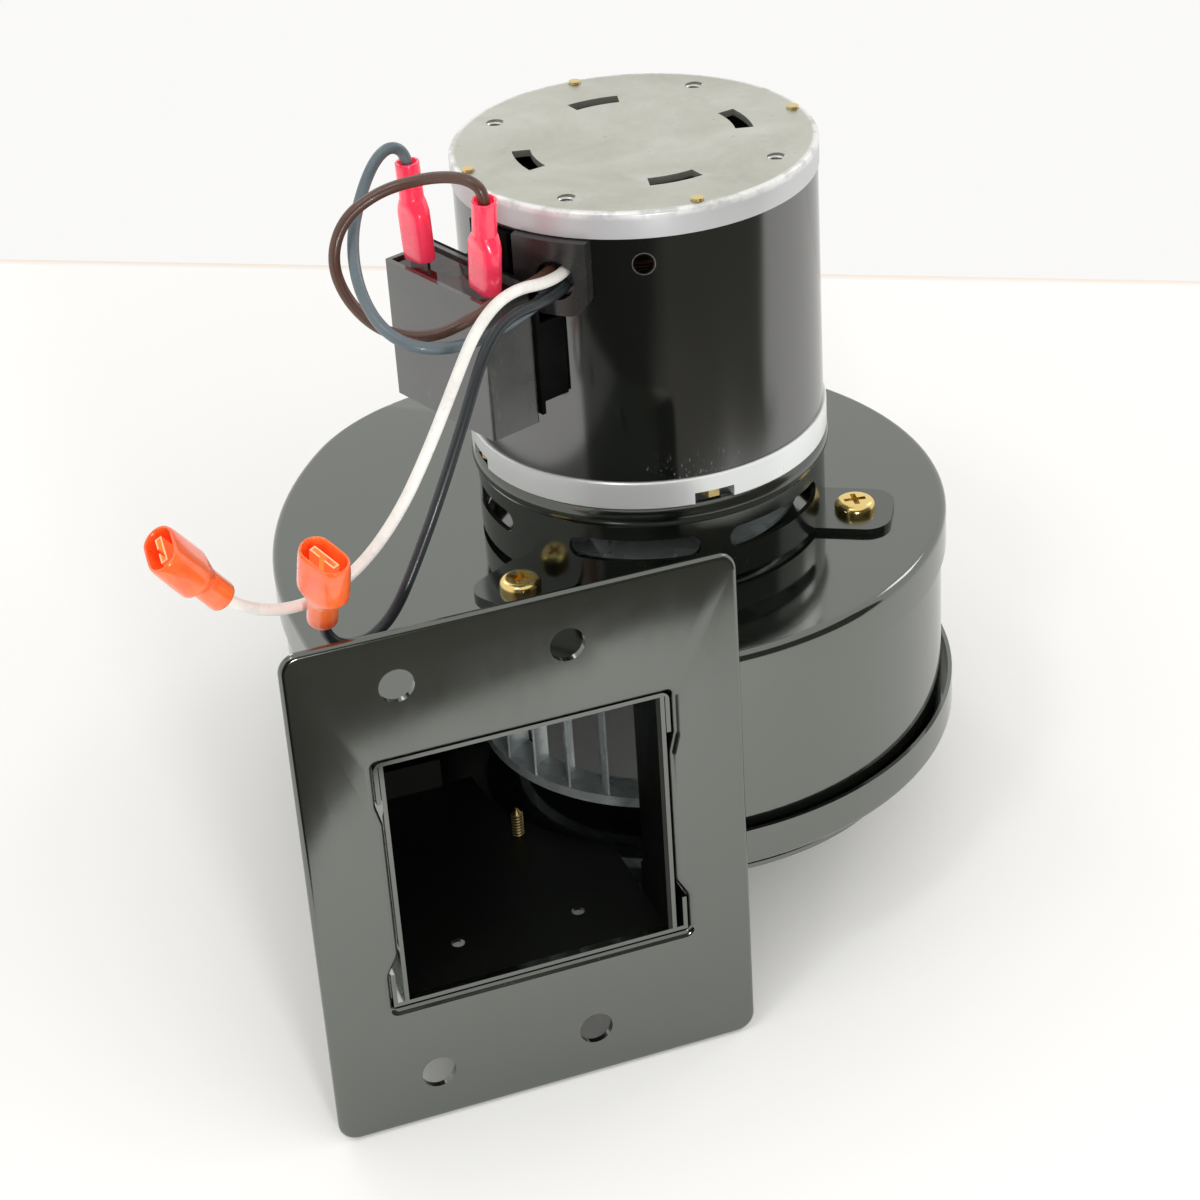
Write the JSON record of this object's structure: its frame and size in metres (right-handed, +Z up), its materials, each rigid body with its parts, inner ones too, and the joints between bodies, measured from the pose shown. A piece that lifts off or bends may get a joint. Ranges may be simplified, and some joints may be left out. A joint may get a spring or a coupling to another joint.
{
  "type": "convection blower",
  "caption": "Centrifugal blower with a scroll housing, a square flanged outlet, a vertical motor over a squirrel cage wheel, a capacitor and insulated leads.",
  "frame": {"origin": "motor axis at the underside of the housing, in the mouth of the air inlet", "axes": "+Z up the motor axis, -Y out of the outlet, so the outlet flange's face is square to Y"},
  "size_m": [0.2086, 0.1695, 0.2076],
  "materials": {
    "bearing_bronze": "sintered bronze",
    "black_insulation": "black lead insulation",
    "black_paint": "gloss black paint on sheet steel",
    "boot_plastic": "satin moulded plastic",
    "brass_bolt": "plated bolt steel, yellow",
    "brown_insulation": "brown lead insulation",
    "capacitor_plastic": "satin moulded box",
    "cast_alloy": "satin die cast with a brushed band",
    "epoxy": "glossy potting",
    "grey_insulation": "grey lead insulation",
    "lamination": "varnished lamination stack",
    "orange_sleeve": "translucent orange nylon",
    "red_sleeve": "translucent red nylon",
    "shell_paint": "gloss black paint on the motor shell",
    "steel": "bright ground steel",
    "tinned": "tinned brass",
    "white_insulation": "white lead insulation",
    "winding": "enamelled copper end turns",
    "yellow_zinc": "yellow passivated zinc plating",
    "zinc_sheet": "galvanised sheet steel"
  },
  "bodies": {
    "blower": {"black_lead": "black_insulation", "black_lead_connector": "orange_sleeve", "brown_lead": "brown_insulation", "capacitor_bracket": "boot_plastic", "capacitor_case": "capacitor_plastic", "capacitor_epoxy": "epoxy", "capacitor_screw": "yellow_zinc", "capacitor_terminals": "tinned", "cutoff": "black_paint", "floor_plate": "black_paint", "front_red_connector": "red_sleeve", "grey_lead": "grey_insulation", "inlet_ring": "black_paint", "inlet_ring_screws": "yellow_zinc", "lead_boot": "boot_plastic", "lead_grommet": "boot_plastic", "lead_receptacles": "tinned", "lower_bearing": "bearing_bronze", "lower_end_bracket": "cast_alloy", "motor_mount_ring": "shell_paint", "motor_shell": "shell_paint", "mount_screws": "yellow_zinc", "outlet_flange": "black_paint", "rear_red_connector": "red_sleeve", "scroll_wall": "black_paint", "stator_core": "lamination", "stator_windings": "winding", "terminal_receptacles": "tinned", "through_bolts": "brass_bolt", "top_end_cap": "cast_alloy", "top_plate": "black_paint", "upper_bearing": "bearing_bronze", "white_lead": "white_insulation", "white_lead_connector": "orange_sleeve"},
    "rotor": {"rotor_core": "lamination", "motor_shaft": "steel", "thrust_collars": "steel", "cooling_fan": "zinc_sheet", "wheel_blades": "zinc_sheet", "wheel_inlet_ring": "zinc_sheet", "wheel_back_plate": "zinc_sheet", "wheel_hub": "steel", "wheel_set_screw": "steel"}
  },
  "joints": [
    {"name": "rotor_spin", "type": "hinge", "parent": "blower", "child": "rotor", "pos_m": [0, 0, 0.1], "axis": [0, 0, 1], "continuous": true}
  ]
}
